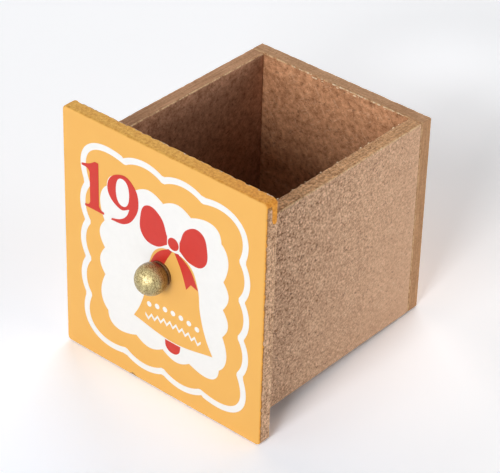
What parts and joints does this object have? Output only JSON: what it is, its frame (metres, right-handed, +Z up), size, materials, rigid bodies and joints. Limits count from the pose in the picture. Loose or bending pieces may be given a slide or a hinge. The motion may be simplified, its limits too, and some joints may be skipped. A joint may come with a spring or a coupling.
{
  "type": "calendar drawer",
  "caption": "Open drawer of a small wooden calendar: a thin fibreboard box behind a larger painted front, with a round brass knob to pull it by.",
  "frame": {"origin": "middle of the underside of the drawer's box, on the face that runs on the shelf of its compartment", "axes": "+X to the right as seen from the front, +Y from the front to the back, +Z up; the painted front faces -Y"},
  "size_m": [0.0484, 0.0569, 0.052],
  "materials": {
    "painted_fibreboard": "matt ochre paint with a screen-printed number and ornament",
    "bare_fibreboard": "raw medium-density fibreboard",
    "antique_brass": "dulled antique brass",
    "zinc_plated_steel": "bright zinc plate"
  },
  "bodies": {
    "root": {"front_panel": "painted_fibreboard", "left_side": "bare_fibreboard", "right_side": "bare_fibreboard", "back_panel": "bare_fibreboard", "bottom_panel": "bare_fibreboard", "knob": "antique_brass", "knob_screw": "zinc_plated_steel"}
  },
  "joints": []
}
